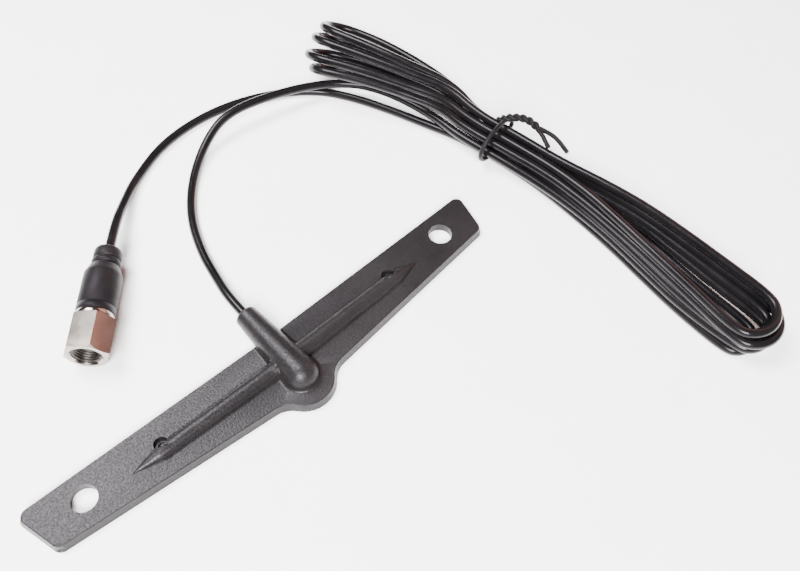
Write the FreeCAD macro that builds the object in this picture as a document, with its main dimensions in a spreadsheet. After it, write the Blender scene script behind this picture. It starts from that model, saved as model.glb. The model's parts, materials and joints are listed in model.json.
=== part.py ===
"""Soil moisture sensor: a flat two-arm probe blade, its thin signal cable and a screw-on plug.

Millimetres. +X runs along the blade, +Y is the side the cable leaves from, +Z is up.
The origin is midway between the two fixing holes, on the blade's underside.
"""
import FreeCAD, Part
import math
import os
import Sketcher

Vector = FreeCAD.Vector

# ---------------------------------------------------------------------------------------
# Driving dimensions
# ---------------------------------------------------------------------------------------
DIMENSIONS = (
    # blade outline at its underside, draughted inwards towards the top face
    ("blade_thick", 2.75), ("seam_level", 1.25), ("wall_draught", 12.3),
    ("far_edge", 6.4), ("far_tip_x", 75.2), ("far_tip_y", 7.6),
    ("near_edge", 13.9), ("near_tip_x", 71.3), ("near_tip_y", 6.98),
    ("far_corner_round", 2.2), ("near_corner_round", 2.6), ("top_edge_round", 0.3),
    ("lobe_radius", 8.6), ("lobe_centre", 10.2), ("lobe_blend", 7.0),
    # spine along each arm
    ("spine_root_y", 3.6), ("spine_root_radius", 2.75),
    ("spine_end_x", 39.5), ("spine_end_y", 2.85), ("spine_end_radius", 2.3),
    ("spine_tip_x", 48.2), ("spine_tip_y", 2.65),
    # hub barrel that the cable leaves by
    ("barrel_level", 3.2), ("barrel_mouth_y", 15.5), ("barrel_mouth_radius", 3.2),
    ("dome_centre_y", 9.0), ("dome_radius", 4.9), ("barrel_lip_round", 0.7),
    # holes through the blade
    ("hole_half_spacing", 60.0), ("hole_radius", 3.5),
    ("pin_half_spacing", 38.4), ("pin_y", 0.6), ("pin_radius", 1.1), ("pin_step_radius", 1.9),
    ("pin_step_depth", 1.5),
    # hollow for the board, and the board itself
    ("cavity_floor", 0.65), ("cavity_roof", 1.75), ("cavity_gap", 0.25),
    ("board_level", 0.7), ("board_thick", 0.8), ("board_end_x", 52.0),
    ("board_end_near", 7.1), ("board_far", 3.6), ("board_root_near", 10.6),
    ("board_hub_x", 5.0), ("board_hub_far", 2.6), ("board_hub_near", 12.2),
    ("foil_thick", 0.1), ("foil_margin", 0.6), ("foil_start_x", 9.0), ("foil_end_x", 51.0),
    ("hub_room_half", 3.4), ("hub_room_near", 11.2), ("hub_room_far", 2.2), ("hub_room_roof", 3.5),
    # cable and what holds it in the barrel
    ("cable_radius", 1.4), ("entry_clearance", 0.02), ("dielectric_radius", 0.76),
    ("conductor_radius", 0.25), ("braid_radius", 1.05),
    ("gland_radius", 2.4), ("gland_near", 2.0), ("gland_far", 10.2),
    ("jacket_stop", 5.4), ("braid_stop", 3.4), ("dielectric_stop", 2.4),
    ("clamp_radius", 1.85), ("clamp_near", 6.2), ("clamp_far", 9.0),
    # plug: distances along its axis are counted back from its mouth
    ("plug_x", -39.55), ("plug_y", 30.65), ("plug_level", 6.62), ("plug_heading", -132.0),
    ("nut_across", 11.0), ("nut_length", 11.0), ("nut_turn", 7.4), ("nut_chamfer", 1.1),
    ("thread_mouth", 4.05), ("thread_chamfer", 0.45), ("thread_radius", 3.62), ("thread_end", 5.2),
    ("relief_radius", 3.8), ("relief_end", 7.6), ("neck_bore", 3.9), ("nut_groove", 4.35),
    ("groove_front", 9.1), ("groove_back", 9.8),
    ("neck_radius", 3.84), ("neck_front", 7.8), ("neck_groove", 3.3),
    ("ring_inner", 3.34), ("ring_outer", 4.28), ("ring_front", 9.16), ("ring_back", 9.74),
    ("sleeve_radius", 2.6), ("sleeve_bore", 2.1), ("sleeve_front", 5.4),
    ("collar_radius", 5.2), ("collar_front", 11.1), ("collar_back", 12.6),
    ("stem_radius", 2.3), ("stem_bore", 1.5), ("stem_back", 23.0), ("core_stop", 15.0),
    ("insulator_front", 6.2), ("insulator_back", 12.0),
    ("contact_radius", 0.62), ("contact_front", 5.6), ("contact_back", 14.2),
    ("ferrule_radius", 2.8), ("ferrule_front", 16.5), ("ferrule_back", 24.5),
    ("gasket_inner", 2.62), ("gasket_outer", 3.5), ("gasket_front", 7.0),
    ("boot_radius", 5.3), ("boot_shoulder", 25.6), ("boot_neck", 28.0), ("boot_neck_radius", 4.1),
    ("boot_rib_radius", 4.0), ("boot_groove_radius", 3.4), ("boot_end", 35.0),
    ("boot_end_radius", 2.3), ("boot_rim_back", 33.6), ("boot_rim_radius", 3.8),
    # wire tie round the hank
    ("tie_x", 97.2), ("tie_y", 15.7), ("tie_level", 5.5), ("tie_heading", -80.2),
    ("tie_half_width", 7.9), ("tie_half_height", 4.75), ("tie_wire_radius", 0.7),
    ("tail_radius", 0.6),
)

doc = FreeCAD.newDocument("soil_moisture_sensor")
sheet = doc.addObject("Spreadsheet::Sheet", "Sizes")
for row, (alias, value) in enumerate(DIMENSIONS, start=1):
    sheet.set("A%d" % row, alias)
    sheet.set("B%d" % row, str(value))
    sheet.setAlias("B%d" % row, alias)
doc.recompute()


def size(alias):
    """The number in a driving cell."""
    return float(sheet.get(alias))


def bound(formula):
    """Point the {names} in a formula at their cells."""
    return formula.replace("{", "Sizes.").replace("}", "")


# ---------------------------------------------------------------------------------------
# Helpers
# ---------------------------------------------------------------------------------------
sub_parts = []


def new_body(label):
    """An empty body that will be written out under its label."""
    body = doc.addObject("PartDesign::Body", label)
    body.Label = label
    sub_parts.append(body)
    return body


def keep(shape_object, label):
    """Name a finished object as a sub-part."""
    shape_object.Label = label
    sub_parts.append(shape_object)
    return shape_object


def new_sketch(body, name, plane, lift="0"):
    """A sketch on one of the body's own origin planes, lifted along the plane's normal."""
    sketch = body.newObject("Sketcher::SketchObject", body.Label + "_" + name)
    support = [face for face in body.Origin.OriginFeatures if face.Role == plane][0]
    sketch.AttachmentSupport = [(support, "")]
    sketch.MapMode = "FlatFace"
    sketch.setExpression("AttachmentOffset.Base.z", bound(lift))
    return sketch


def fix_point(sketch, geometry, end, place):
    """Tie one end of a line, or a circle's centre, to a pair of formulas."""
    for direction, formula in zip(("DistanceX", "DistanceY"), place):
        index = sketch.addConstraint(Sketcher.Constraint(direction, -1, 1, geometry, end, 1.0))
        sketch.setExpression("Constraints[%d]" % index, bound(formula))


def add_outline(sketch, corners):
    """A closed outline through corners given as pairs of formulas."""
    count = len(corners)
    first = sketch.GeometryCount
    ring = [Vector(math.cos(math.tau * k / count), math.sin(math.tau * k / count), 0)
            for k in range(count)]
    for k in range(count):
        sketch.addGeometry(Part.LineSegment(ring[k], ring[(k + 1) % count]), False)
    for k in range(count):
        sketch.addConstraint(Sketcher.Constraint("Coincident", first + k, 2, first + (k + 1) % count, 1))
        fix_point(sketch, first + k, 1, corners[k])


def add_axis(sketch, start, end):
    """A construction line that a revolution turns about."""
    index = sketch.addGeometry(Part.LineSegment(Vector(0, 0, 0), Vector(1, 1, 0)), True)
    fix_point(sketch, index, 1, start)
    fix_point(sketch, index, 2, end)


def add_circle(sketch, centre, radius):
    """A circle whose centre and radius follow formulas."""
    index = sketch.addGeometry(Part.Circle(Vector(0, 0, 0), Vector(0, 0, 1), 1.0), False)
    fix_point(sketch, index, 3, centre)
    constraint = sketch.addConstraint(Sketcher.Constraint("Radius", index, 1.0))
    sketch.setExpression("Constraints[%d]" % constraint, bound(radius))


def pad(body, name, sketch, length, taper=None):
    """Raise a sketch along its normal."""
    feature = body.newObject("PartDesign::Pad", body.Label + "_" + name)
    feature.Profile = sketch
    feature.setExpression("Length", bound(length))
    if taper:
        feature.setExpression("TaperAngle", bound(taper))
    doc.recompute()
    return feature


def removing(body, feature, volume_before):
    """Stop if a cut took nothing away."""
    doc.recompute()
    if body.Shape.Volume > volume_before - 1e-4:
        raise RuntimeError(feature.Name + " cut nothing")
    return feature


def pocket(body, name, sketch, length, upwards=False):
    """Cut a sketch into the body, away from its normal or along it."""
    before = body.Shape.Volume
    feature = body.newObject("PartDesign::Pocket", body.Label + "_" + name)
    feature.Profile = sketch
    feature.setExpression("Length", bound(length))
    feature.Reversed = upwards
    return removing(body, feature, before)


def turned(body, name, sketch, kind="PartDesign::Revolution"):
    """Turn a sketch right round its first construction line."""
    before = body.Shape.Volume if kind == "PartDesign::Groove" else None
    feature = body.newObject(kind, body.Label + "_" + name)
    feature.Profile = sketch
    feature.ReferenceAxis = (sketch, ["Axis0"])
    feature.Angle = 360
    if before is not None:
        return removing(body, feature, before)
    doc.recompute()
    return feature


def mirrored(body, name, feature):
    """Repeat a feature on the other arm."""
    copy = body.newObject("PartDesign::Mirrored", body.Label + "_" + name)
    copy.Originals = [feature]
    side = [face for face in body.Origin.OriginFeatures if face.Role == "YZ_Plane"][0]
    copy.MirrorPlane = (side, [""])
    body.Tip = copy
    doc.recompute()
    return copy


def edges_where(shape, wanted):
    """Names of the edges whose middle point satisfies a test."""
    names = []
    for number, edge in enumerate(shape.Edges, start=1):
        middle = edge.valueAt((edge.FirstParameter + edge.LastParameter) / 2)
        if wanted(edge, middle):
            names.append("Edge%d" % number)
    return names


def rounded(body, name, wanted, radius):
    """Round the edges that satisfy a test."""
    base = body.Tip
    names = edges_where(base.Shape, wanted)
    feature = body.newObject("PartDesign::Fillet", body.Label + "_" + name)
    feature.Base = (base, names)
    feature.setExpression("Radius", bound(radius))
    doc.recompute()
    print(body.Label, name, "rounded", len(names), "edges")
    return feature


def upright(edge):
    """True for an edge that rises from the underside to the top face."""
    box = edge.BoundBox
    return box.ZLength > 0.9 * size("blade_thick")


# ---------------------------------------------------------------------------------------
# Blade: the outer form is shared by the top shell and the back cover
# ---------------------------------------------------------------------------------------
def blade_form(body):
    """Outline, lobe, spines and barrel, from the underside up."""
    plan = new_sketch(body, "plan", "XY_Plane")
    add_outline(plan, (
        ("0", "-{near_edge}"), ("{near_tip_x}", "-{near_tip_y}"), ("{far_tip_x}", "{far_tip_y}"),
        ("0", "{far_edge}"), ("-{far_tip_x}", "{far_tip_y}"), ("-{near_tip_x}", "-{near_tip_y}")))
    pad(body, "blade", plan, "{blade_thick}", "-{wall_draught}")
    lobe = new_sketch(body, "lobe_plan", "XY_Plane")
    add_circle(lobe, ("0", "-{lobe_centre}"), "{lobe_radius}")
    pad(body, "lobe", lobe, "{blade_thick}", "-{wall_draught}")
    rounded(body, "lobe_blends",
            lambda edge, at: upright(edge) and abs(at.x) < 20 and at.y < -8, "{lobe_blend}")
    rounded(body, "far_corners",
            lambda edge, at: upright(edge) and abs(at.x) > 60 and at.y > 0, "{far_corner_round}")
    rounded(body, "near_corners",
            lambda edge, at: upright(edge) and abs(at.x) > 60 and at.y < 0, "{near_corner_round}")


def spine_sketch(body, name, thinner="0"):
    """Half section of one arm's spine about its slightly slanting axis."""
    sketch = new_sketch(body, name, "XY_Plane", "{blade_thick}")
    root = ("0", "-{spine_root_y}")
    tip = ("{spine_tip_x} - " + thinner, "-{spine_tip_y}")
    add_axis(sketch, root, tip)
    add_outline(sketch, (
        root,
        ("0", "-{spine_root_y} + {spine_root_radius} - " + thinner),
        ("{spine_end_x}", "-{spine_end_y} + {spine_end_radius} - " + thinner),
        tip))
    return sketch


def barrel_sketch(body, name):
    """Half section of the barrel and its round inner end, in the plane across the blade."""
    sketch = new_sketch(body, name, "YZ_Plane")
    middle = ("-{dome_centre_y}", "{barrel_level}")
    add_axis(sketch, middle, ("{barrel_mouth_y}", "{barrel_level}"))
    add_outline(sketch, (
        middle,
        ("{barrel_mouth_y}", "{barrel_level}"),
        ("{barrel_mouth_y}", "{barrel_level} + {barrel_mouth_radius}"),
        ("-{dome_centre_y}", "{barrel_level} + {dome_radius}")))
    return sketch


def dome(body):
    """The ball that closes the barrel over the lobe."""
    ball = body.newObject("PartDesign::AdditiveSphere", body.Label + "_dome")
    ball.setExpression("Radius", bound("{dome_radius}"))
    support = [face for face in body.Origin.OriginFeatures if face.Role == "XY_Plane"][0]
    ball.AttachmentSupport = [(support, "")]
    ball.MapMode = "FlatFace"
    ball.setExpression("AttachmentOffset.Base.y", bound("-{dome_centre_y}"))
    ball.setExpression("AttachmentOffset.Base.z", bound("{barrel_level}"))
    doc.recompute()


def raised_form(body):
    """Spines, barrel and dome on the blade's top face."""
    spine = turned(body, "spine", spine_sketch(body, "spine_section"))
    mirrored(body, "spines", spine)
    turned(body, "barrel", barrel_sketch(body, "barrel_section"))
    dome(body)


def round_barrel_lip(body):
    """Round the rim of the barrel's mouth."""
    mouth = size("barrel_mouth_y")
    rounded(body, "barrel_lip",
            lambda edge, at: abs(at.y - mouth) < 1e-3 and edge.BoundBox.YLength < 1e-3,
            "{barrel_lip_round}")


def cut_away(body, name, level, upwards):
    """Remove everything above or below a level."""
    sketch = new_sketch(body, name + "_plan", "XY_Plane", level)
    add_outline(sketch, (("-90", "-30"), ("90", "-30"), ("90", "30"), ("-90", "30")))
    pocket(body, name, sketch, "20", upwards)


def board_corners(gap):
    """The board's outline, or the hollow round it when a gap is added."""
    right = [
        ("{board_hub_x} + " + gap, "-{board_hub_near} - " + gap),
        ("{board_hub_x} + " + gap, "-{board_root_near} - " + gap),
        ("{board_end_x} + " + gap, "-{board_end_near} - " + gap),
        ("{board_end_x} + " + gap, "-{board_far} + " + gap),
        ("{board_hub_x} + " + gap, "-{board_far} + " + gap),
        ("{board_hub_x} + " + gap, "{board_hub_far} + " + gap)]
    left = [("-(" + x + ")", y) for x, y in reversed(right)]
    return right + left


def through_holes(body, lift, depth):
    """Fixing holes and small locating holes, cut from below."""
    plan = new_sketch(body, "hole_plan", "XY_Plane", lift)
    for side in ("", "-"):
        add_circle(plan, (side + "{hole_half_spacing}", "0"), "{hole_radius}")
        add_circle(plan, (side + "{pin_half_spacing}", "-{pin_y}"), "{pin_radius}")
    pocket(body, "holes", plan, depth, True)


def make_top_shell():
    """Upper moulding: top face, spines, barrel and the roof of the hollow."""
    body = new_body("top_shell")
    blade_form(body)
    top = size("blade_thick")
    rounded(body, "top_edge",
            lambda edge, at: abs(at.z - top) < 1e-3, "{top_edge_round}")
    raised_form(body)
    round_barrel_lip(body)
    cut_away(body, "below_seam", "{seam_level}", False)
    hollow = new_sketch(body, "hollow_plan", "XY_Plane", "{seam_level}")
    add_outline(hollow, board_corners("{cavity_gap}"))
    pocket(body, "hollow", hollow, "{cavity_roof} - {seam_level}", True)
    room = new_sketch(body, "hub_room_plan", "XY_Plane", "{seam_level}")
    add_outline(room, (
        ("-{hub_room_half}", "-{hub_room_near}"), ("{hub_room_half}", "-{hub_room_near}"),
        ("{hub_room_half}", "{hub_room_far}"), ("-{hub_room_half}", "{hub_room_far}")))
    pocket(body, "hub_room", room, "{hub_room_roof} - {seam_level}", True)
    gland = new_sketch(body, "gland_section", "YZ_Plane")
    add_axis(gland, ("{gland_near}", "{barrel_level}"), ("{barrel_mouth_y} + 1", "{barrel_level}"))
    add_outline(gland, (
        ("{gland_near}", "{barrel_level}"),
        ("{barrel_mouth_y} + 1", "{barrel_level}"),
        ("{barrel_mouth_y} + 1", "{barrel_level} + {cable_radius} + {entry_clearance}"),
        ("{gland_far}", "{barrel_level} + {cable_radius} + {entry_clearance}"),
        ("{gland_far}", "{barrel_level} + {gland_radius}"),
        ("{gland_near}", "{barrel_level} + {gland_radius}")))
    turned(body, "gland_bore", gland, "PartDesign::Groove")
    through_holes(body, "0", "20")
    steps = new_sketch(body, "step_plan", "XY_Plane", "{blade_thick} - {pin_step_depth}")
    for side in ("", "-"):
        add_circle(steps, (side + "{pin_half_spacing}", "-{pin_y}"), "{pin_step_radius}")
    pocket(body, "pin_steps", steps, "10", True)
    return body


def make_back_cover():
    """Lower moulding that is welded on along the seam."""
    body = new_body("back_cover")
    blade_form(body)
    turned(body, "barrel", barrel_sketch(body, "barrel_section"))
    round_barrel_lip(body)
    cut_away(body, "above_seam", "{seam_level}", True)
    cut_away(body, "below_base", "0", False)
    hollow = new_sketch(body, "hollow_plan", "XY_Plane", "{cavity_floor}")
    add_outline(hollow, board_corners("{cavity_gap}"))
    pocket(body, "hollow", hollow, "10", True)
    gland = new_sketch(body, "gland_section", "YZ_Plane")
    add_axis(gland, ("{gland_near}", "{barrel_level}"), ("{gland_far}", "{barrel_level}"))
    add_outline(gland, (
        ("{gland_near}", "{barrel_level}"), ("{gland_far}", "{barrel_level}"),
        ("{gland_far}", "{barrel_level} + {gland_radius}"),
        ("{gland_near}", "{barrel_level} + {gland_radius}")))
    turned(body, "gland_bore", gland, "PartDesign::Groove")
    through_holes(body, "0", "20")
    return body


make_top_shell()
make_back_cover()


# ---------------------------------------------------------------------------------------
# Inside the blade
# ---------------------------------------------------------------------------------------
def slab(label, corners, level, thick, holes=()):
    """A flat piece through the corners, resting at a level."""
    body = new_body(label)
    plan = new_sketch(body, "plan", "XY_Plane", level)
    add_outline(plan, corners)
    for centre, radius in holes:
        add_circle(plan, centre, radius)
    pad(body, "slab", plan, thick)
    return body


def make_board():
    """Glass-fibre board along both arms with a wide middle under the barrel."""
    slab("circuit_board", board_corners("0"), "{board_level}", "{board_thick}")


def make_electrodes():
    """Copper sensing foils, one on each arm of the board."""
    level = "{board_level} + {board_thick}"
    near_slope = "(({board_root_near} - {board_end_near}) / ({board_end_x} - {board_hub_x}))"
    for label, side in (("electrode_left", "-"), ("electrode_right", "")):
        corners = []
        for x in ("{foil_start_x}", "{foil_end_x}"):
            near = "-{board_end_near} - ({board_end_x} - %s) * %s + {foil_margin}" % (x, near_slope)
            corners.append((side + x, near))
        for x in ("{foil_end_x}", "{foil_start_x}"):
            corners.append((side + x, "-{board_far} - {foil_margin}"))
        slab(label, corners, level, "{foil_thick}")


def block(name, length, width, height, x, y, z):
    """A rectangular block centred on x and y and standing on z."""
    box = doc.addObject("Part::Box", name)
    for side, value in (("Length", length), ("Width", width), ("Height", height)):
        box.setExpression(side, bound(value))
    box.setExpression("Placement.Base.x", bound("%s - (%s) / 2" % (x, length)))
    box.setExpression("Placement.Base.y", bound("%s - (%s) / 2" % (y, width)))
    box.setExpression("Placement.Base.z", bound(z))
    return box


def fused(label, pieces):
    """Join primitives that touch into one sub-part."""
    joined = doc.addObject("Part::MultiFuse", label)
    joined.Shapes = pieces
    joined.Refine = True
    return keep(joined, label)


def grouped(label, pieces):
    """Keep identical small pieces that don't touch as one group of solids."""
    group = doc.addObject("Part::Compound", label)
    group.Links = pieces
    return keep(group, label)


BOARD_TOP = "{board_level} + {board_thick}"


def make_chip(label, x, y, body_size, leads_per_side, pitch, lead_reach):
    """A moulded chip with bent leads drawn as feet along two sides."""
    length, width, height = body_size
    pieces = [block(label + "_case", str(length), str(width), str(height), str(x), str(y),
                    BOARD_TOP + " + 0.1")]
    for side in (-1, 1):
        for number in range(leads_per_side):
            lead_y = y + (number - (leads_per_side - 1) / 2) * pitch
            lead_x = x + side * (length / 2 + lead_reach / 2 - 0.05)
            pieces.append(block("%s_lead_%d_%d" % (label, side + 1, number), str(lead_reach + 0.1), "0.3",
                                "0.45", str(lead_x), str(lead_y), BOARD_TOP))
    return fused(label, pieces)


CHIPS = (
    # name, x, y, case length, width and height, leads on a side, their pitch, how far they reach
    ("oscillator_chip", -0.6, -8.6, (3.0, 3.0, 1.0), 4, 0.65, 0.7),
    ("voltage_regulator", 1.1, -4.4, (1.4, 2.8, 1.0), 2, 1.9, 0.5),
    ("detector_diode", -1.9, -4.6, (1.0, 1.6, 0.8), 1, 0.0, 0.4),
)

PASSIVES = (
    # name, how many, pitch, x, y of the first, then each one's length, width and height
    ("chip_capacitors", 3, 1.5, 2.75, -10.0, 1.0, 0.6, 0.55),
    ("chip_resistors", 3, 1.3, -2.6, -1.6, 1.0, 0.55, 0.4),
)


def make_chips():
    """The oscillator, the supply regulator and the detector diode."""
    for chip in CHIPS:
        make_chip(*chip)


def chip_row(label, count, pitch, x, y, length, width, height):
    """A row of ceramic chips standing on the board."""
    row = [block("%s_%d" % (label, number), str(length), str(width), str(height), str(x),
                 str(y + number * pitch), BOARD_TOP) for number in range(count)]
    return grouped(label, row)


def make_passives():
    """Rows of chip capacitors and chip resistors beside the chips."""
    for row in PASSIVES:
        chip_row(*row)


def tube_along(label, inner, outer, near, far, level="{barrel_level}"):
    """A round piece, bored if inner isn't zero, along the barrel's axis."""
    body = new_body(label)
    section = new_sketch(body, "section", "YZ_Plane")
    add_axis(section, (near, level), (far, level))
    add_outline(section, (
        (near, level + " + " + inner), (far, level + " + " + inner),
        (far, level + " + " + outer), (near, level + " + " + outer)))
    turned(body, "tube", section)
    return body


def make_cable_end():
    """The stripped cable inside the barrel, its clamp and the sealing resin round it."""
    tube_along("hub_jacket_end", "0", "{cable_radius}", "{jacket_stop}", "{barrel_mouth_y}")
    tube_along("hub_braid_end", "0", "{braid_radius}", "{braid_stop}", "{jacket_stop}")
    tube_along("hub_dielectric_end", "0", "{dielectric_radius}", "{dielectric_stop}", "{braid_stop}")
    tube_along("cable_clamp", "{cable_radius}", "{clamp_radius}", "{clamp_near}", "{clamp_far}")
    tube_along("hub_seal", "{clamp_radius}", "{gland_radius} - 0.02", "{jacket_stop}",
               "{gland_far} - 0.05")


def rounded_path(points, share=0.45):
    """Straight runs joined by arcs as large as the shorter run beside each corner allows."""
    edges = []
    radii = []
    start = points[0]
    for before, corner, after in zip(points, points[1:], points[2:]):
        incoming = (corner - before).normalize()
        outgoing = (after - corner).normalize()
        turn = incoming.getAngle(outgoing)
        reach = share * min((corner - before).Length, (after - corner).Length)
        radii.append(reach / math.tan(turn / 2))
        entry = corner - incoming * reach
        leave = corner + outgoing * reach
        inward = (outgoing - incoming).normalize()
        to_centre = reach / math.sin(turn / 2)
        middle = corner + inward * (to_centre - radii[-1])
        edges.append(Part.LineSegment(start, entry).toShape())
        edges.append(Part.Arc(entry, middle, leave).toShape())
        start = leave
    edges.append(Part.LineSegment(start, points[-1]).toShape())
    return Part.Wire(edges), radii


def swept(label, points, radius):
    """A round tube or wire along a path of runs and arcs."""
    path, radii = rounded_path(points)
    section = Part.Wire(Part.Circle(points[0], points[1] - points[0], radius).toShape())
    tube = path.makePipeShell([section], True, False)
    expected = math.pi * radius ** 2 * path.Length
    print("%s: length %.1f, radii %s, volume ratio %.4f" % (
        label, path.Length, " ".join("%.1f" % r for r in radii), tube.Volume / expected))
    feature = doc.addObject("Part::Feature", label)
    feature.Shape = tube
    return keep(feature, label)


def make_conductor_end():
    """The cable's centre wire, bent down onto the board."""
    level = size("barrel_level")
    board_top = size("board_level") + size("board_thick")
    radius = size("conductor_radius")
    start = size("dielectric_stop")
    route = [Vector(0, start, level), Vector(0, start - 0.8, level),
             Vector(0, start - 1.7, board_top + radius), Vector(0, start - 2.9, board_top + radius)]
    swept("hub_conductor_end", route, radius)


def make_solder():
    """Two joints that hold the centre wire and the braid's tail on the board."""
    joints = []
    for number, (x, y) in enumerate(((0.0, -1.2), (1.9, -1.0))):
        cone = doc.addObject("Part::Cone", "solder_%d" % number)
        cone.Radius1 = 0.55
        cone.Radius2 = 0.3
        cone.Height = 0.35
        cone.setExpression("Placement.Base.x", str(x))
        cone.setExpression("Placement.Base.y", str(y))
        cone.setExpression("Placement.Base.z", bound(BOARD_TOP))
        joints.append(cone)
    return grouped("solder_joints", joints)


make_board()
make_electrodes()
make_chips()
make_passives()
make_cable_end()
make_conductor_end()
make_solder()


# ---------------------------------------------------------------------------------------
# Plug: each piece is turned about its own Z axis, with the mouth at zero, then laid down
# ---------------------------------------------------------------------------------------
def lay_down(body):
    """Put a plug piece on the plug's axis, mouth forward and its Y side up."""
    heading = math.radians(size("plug_heading"))
    forward = Vector(math.cos(heading), math.sin(heading), 0)
    up = Vector(0, 0, 1)
    sideways = up.cross(forward)
    turn = FreeCAD.Rotation(sideways, up, forward, "ZYX")
    body.Placement = FreeCAD.Placement(Vector(0, 0, 0), turn)
    for letter, alias in (("x", "plug_x"), ("y", "plug_y"), ("z", "plug_level")):
        body.setExpression("Placement.Base." + letter, bound("{%s}" % alias))


def lathe(body, name, profile, kind="PartDesign::Revolution"):
    """Turn a profile of (radius, distance back from the mouth) pairs about the plug's axis."""
    section = new_sketch(body, name + "_section", "XZ_Plane")
    add_axis(section, ("0", "1"), ("0", "-40"))
    add_outline(section, [(radius, "-(" + back + ")") for radius, back in profile])
    return turned(body, name, section, kind)


def ring_profile(inner, outer, front, back):
    """A rectangular section between two radii."""
    return ((inner, front), (outer, front), (outer, back), (inner, back))


def make_coupling_nut():
    """Hexagon nut with a chamfered nose, a threaded mouth and a plain rear bore."""
    body = new_body("coupling_nut")
    plan = new_sketch(body, "plan", "XY_Plane", "-{nut_length}")
    corner = "{nut_across} / 2 / cos(30)"
    add_outline(plan, [("%s * cos({nut_turn} + %d)" % (corner, 60 * k),
                        "%s * sin({nut_turn} + %d)" % (corner, 60 * k)) for k in range(6)])
    pad(body, "hexagon", plan, "{nut_length}")
    flat = "{nut_across} / 2"
    lathe(body, "nose", (
        (flat + " - 0.15", "-0.5"), (flat + " + 3", "-0.5"), (flat + " + 3", "{nut_chamfer} + 0.66"),
        (flat + " - 0.15", "0")), "PartDesign::Groove")
    lathe(body, "heel", (
        (flat + " + 3", "{nut_length} + 0.5"), (flat + " + 0.2", "{nut_length} + 0.5"),
        (flat + " + 0.2", "{nut_length}"), (flat + " + 3", "{nut_length} - 1.4")),
        "PartDesign::Groove")
    lathe(body, "bore", (
        ("0", "-0.5"), ("{thread_mouth}", "-0.5"), ("{thread_mouth}", "0"),
        ("{thread_radius}", "{thread_chamfer}"),
        ("{thread_radius}", "{thread_end}"), ("{relief_radius}", "{thread_end} + 0.2"),
        ("{relief_radius}", "{relief_end}"), ("{neck_bore}", "{relief_end} + 0.1"),
        ("{neck_bore}", "{groove_front}"), ("{nut_groove}", "{groove_front}"),
        ("{nut_groove}", "{groove_back}"), ("{neck_bore}", "{groove_back}"),
        ("{neck_bore}", "{nut_length} + 0.5"), ("0", "{nut_length} + 0.5")), "PartDesign::Groove")
    lay_down(body)


def make_plug_body():
    """Nickel-plated sleeve, neck, collar and rear stem, turned in one piece."""
    body = new_body("plug_body")
    lathe(body, "turning", (
        ("{sleeve_bore}", "{sleeve_front}"), ("{sleeve_radius}", "{sleeve_front}"),
        ("{sleeve_radius}", "{neck_front}"), ("{neck_radius}", "{neck_front}"),
        ("{neck_radius}", "{groove_front}"), ("{neck_groove}", "{groove_front}"),
        ("{neck_groove}", "{groove_back}"), ("{neck_radius}", "{groove_back}"),
        ("{neck_radius}", "{collar_front}"), ("{collar_radius} - 0.3", "{collar_front}"),
        ("{collar_radius}", "{collar_front} + 0.3"), ("{collar_radius}", "{collar_back}"),
        ("{stem_radius}", "{collar_back}"), ("{stem_radius}", "{stem_back}"),
        ("{stem_bore}", "{stem_back}"), ("{stem_bore}", "{insulator_back}"),
        ("{sleeve_bore}", "{insulator_back}")))
    lay_down(body)


def make_retaining_ring():
    """Split spring ring that holds the nut on the neck and lets it spin."""
    body = new_body("retaining_ring")
    lathe(body, "ring", ring_profile("{ring_inner}", "{ring_outer}", "{ring_front}", "{ring_back}"))
    gap = new_sketch(body, "gap_plan", "XY_Plane", "-{ring_back} - 0.5")
    add_outline(gap, (("-0.6", "-{ring_outer} - 1"), ("0.6", "-{ring_outer} - 1"), ("0.6", "-1"),
                      ("-0.6", "-1")))
    pocket(body, "gap", gap, "2", True)
    lay_down(body)


def make_turned(label, profile):
    """A plug piece that is one plain turning."""
    body = new_body(label)
    lathe(body, "turning", profile)
    lay_down(body)


def make_plug_inside():
    """Insulator, contact, gasket, ferrule and the stripped cable end."""
    make_turned("insulator", ring_profile(
        "{contact_radius}", "{sleeve_bore}", "{insulator_front}", "{insulator_back}"))
    make_turned("centre_contact", (
        ("0", "{contact_front} + 1.8"), ("{conductor_radius} + 0.05", "{contact_front} + 1.6"),
        ("{conductor_radius} + 0.05", "{contact_front}"), ("{contact_radius}", "{contact_front}"),
        ("{contact_radius}", "{contact_back}"), ("0", "{contact_back}")))
    make_turned("face_gasket", ring_profile(
        "{gasket_inner}", "{gasket_outer}", "{gasket_front}", "{neck_front}"))
    make_turned("crimp_ferrule", ring_profile(
        "{stem_radius}", "{ferrule_radius}", "{ferrule_front}", "{ferrule_back} - 1.5"))
    make_turned("plug_dielectric_end", ring_profile(
        "0", "{dielectric_radius}", "{core_stop}", "{ferrule_back}"))
    make_turned("plug_conductor_end", ring_profile(
        "0", "{conductor_radius}", "{contact_back}", "{core_stop}"))
    make_turned("plug_jacket_end", ring_profile(
        "0", "{cable_radius}", "{ferrule_back}", "{boot_end}"))


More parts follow.
